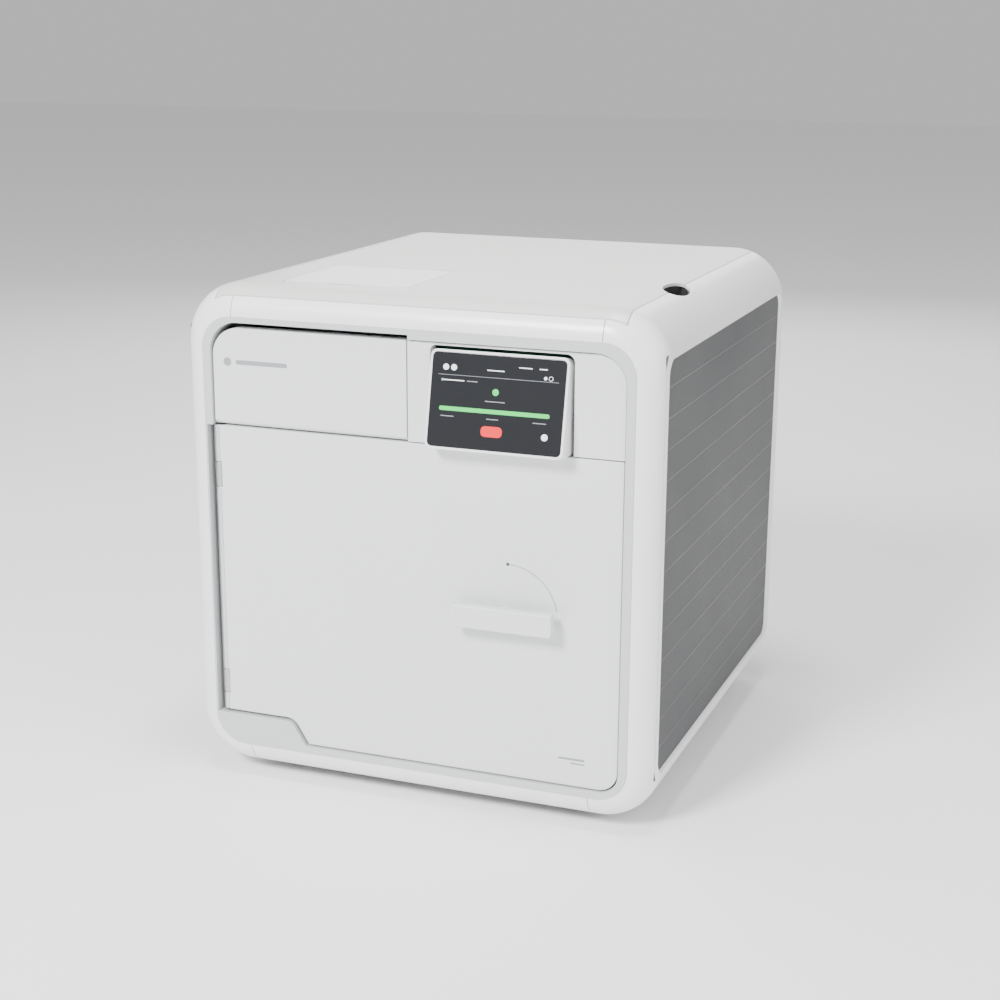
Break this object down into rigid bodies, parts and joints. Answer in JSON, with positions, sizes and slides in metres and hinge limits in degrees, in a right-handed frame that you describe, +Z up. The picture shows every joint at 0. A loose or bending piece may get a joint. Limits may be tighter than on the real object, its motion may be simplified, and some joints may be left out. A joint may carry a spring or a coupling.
{
  "type": "benchtop autoclave",
  "caption": "Cube-shaped benchtop steam steriliser with rounded white casing, side-hinged front door with a turn handle, tilted touch screen, drop-down flap, mesh sides and a top filling lid.",
  "frame": {"origin": "on the bench, under the centre of the machine's bounding box", "axes": "+X to the machine's right seen from the front, +Y to the rear, +Z up"},
  "size_m": [0.48, 0.5058, 0.495],
  "materials": {
    "white_shell": "satin gloss",
    "cover_paint": "satin powder coat",
    "bezel_grey": "satin",
    "panel_white": "fine satin",
    "mesh_grey": "perforated, satin",
    "dark_plastic": "matte",
    "screen_glass": "gloss, black back-printed",
    "board_green": "solder mask",
    "steel": "brushed",
    "bright_steel": "fine polished",
    "zinc_steel": "zinc plated",
    "aluminium": "satin",
    "brass": "machined",
    "rubber_black": "matte",
    "silicone_seal": "satin silicone",
    "insulation": "glass-fibre cloth",
    "tank_plastic": "translucent natural",
    "lid_white": "satin powder coat",
    "blue_filter": "satin",
    "copper_pipe": "drawn tube"
  },
  "bodies": {
    "casing": {"side_shell_left": "white_shell", "side_shell_right": "white_shell", "front_trim_top": "white_shell", "front_trim_bottom": "white_shell", "top_cover": "cover_paint", "finger_cup": "dark_plastic", "base_pan": "zinc_steel", "side_mesh_left": "mesh_grey", "side_mesh_right": "mesh_grey", "rear_panel": "cover_paint", "feet": "rubber_black", "rear_spacers": "rubber_black", "panel_screws": "zinc_steel", "front_ring": "bezel_grey", "display_fascia": "panel_white", "display_housing": "white_shell", "display_glass": "screen_glass", "service_bay": "dark_plastic", "air_filter": "blue_filter", "fill_couplings": "brass", "front_bulkhead": "steel", "chassis_frame": "zinc_steel", "pressure_chamber": "bright_steel", "band_heaters": "zinc_steel", "insulation_jacket": "insulation", "tray_rack": "steel", "trays": "aluminium", "hinge_pins": "steel", "hinge_brackets": "zinc_steel", "lock_keeper": "zinc_steel", "clean_water_tank": "tank_plastic", "used_water_tank": "tank_plastic", "fan_shroud": "dark_plastic", "condenser": "aluminium", "steam_generator": "steel", "vacuum_pump": "aluminium", "water_pump": "dark_plastic", "valve_manifold": "brass", "safety_valve": "brass", "power_supply": "zinc_steel", "control_boards": "board_green", "pipework": "copper_pipe", "mains_inlet": "dark_plastic", "drain_spigots": "brass"},
    "door": {"door_panel": "panel_white", "hinge_barrel": "aluminium", "door_chassis": "zinc_steel", "door_back_cover": "panel_white", "pressure_plate": "bright_steel", "door_gasket": "silicone_seal", "plate_pivot": "steel", "shaft_bush": "brass"},
    "handle": {"handle_bar": "panel_white", "handle_shaft": "steel", "scroll_plate": "steel"},
    "lock": {"lock_bolts": "steel"},
    "flap": {"flap_panel": "panel_white"},
    "lid": {"reservoir_lid": "lid_white"},
    "fan": {"fan_rotor": "dark_plastic"},
    "switch": {"power_switch": "dark_plastic"}
  },
  "joints": [
    {"name": "door_hinge", "type": "hinge", "parent": "casing", "child": "door", "pos_m": [-0.204, -0.226, 0.214], "axis": [0, 0, -1], "range_deg": [0, 105]},
    {"name": "handle_turn", "type": "hinge", "parent": "door", "child": "handle", "pos_m": [0.0953, -0.235, 0.204], "axis": [0, -1, 0], "range_deg": [0, 90]},
    {"name": "bolt_slide", "type": "slide", "parent": "door", "child": "lock", "axis": [1, 0, 0], "range_m": [0, 0.0121]},
    {"name": "flap_hinge", "type": "hinge", "parent": "casing", "child": "flap", "pos_m": [-0.104, -0.226, 0.3666], "axis": [1, 0, 0], "range_deg": [0, 90]},
    {"name": "lid_hinge", "type": "hinge", "parent": "casing", "child": "lid", "pos_m": [-0.089, -0.066, 0.4915], "axis": [-1, 0, 0], "range_deg": [0, 85]},
    {"name": "fan_spin", "type": "hinge", "parent": "casing", "child": "fan", "pos_m": [0.11, 0.215, 0.414], "axis": [0, 1, 0], "continuous": true},
    {"name": "switch_rock", "type": "hinge", "parent": "casing", "child": "switch", "pos_m": [-0.15, 0.228, 0.103], "axis": [-1, 0, 0], "range_deg": [0, 16]}
  ],
  "couplings": [
    {"joint": "bolt_slide", "follows": "handle_turn", "m_per_rad": 0.0076394}
  ]
}
